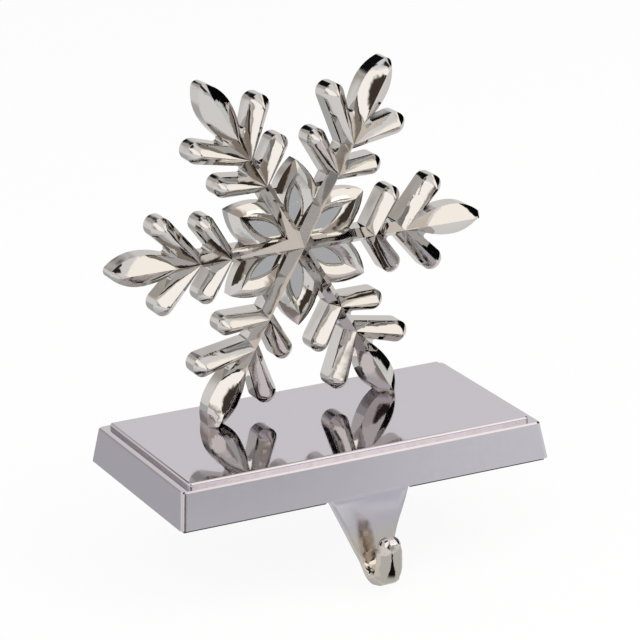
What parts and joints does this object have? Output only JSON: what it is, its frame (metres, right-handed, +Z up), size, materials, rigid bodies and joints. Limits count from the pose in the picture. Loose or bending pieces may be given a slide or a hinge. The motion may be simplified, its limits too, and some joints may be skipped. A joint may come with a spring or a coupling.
{
  "type": "mantel stocking holder",
  "caption": "Weighted holder that stands on a mantel shelf, with a polished snowflake on a bevelled base and a J hook below the front edge for a stocking",
  "frame": {"origin": "on the shelf top, in the underside of the pad, under the middle of the base", "axes": "+X along the long base and along the shelf's front edge, -Y towards the room where the hook hangs, +Z up"},
  "size_m": [0.1414, 0.0933, 0.1656],
  "materials": {
    "base_plating": "mirror polished nickel plate over a zinc die casting",
    "snowflake_plating": "mirror polished nickel plate over a zinc die casting",
    "screw_steel": "zinc plated steel",
    "pad_rubber": "matte black rubber sheet"
  },
  "bodies": {
    "root": {"base_casting": "base_plating", "snowflake": "snowflake_plating", "snowflake_screws": "screw_steel", "base_pad": "pad_rubber"}
  },
  "joints": []
}
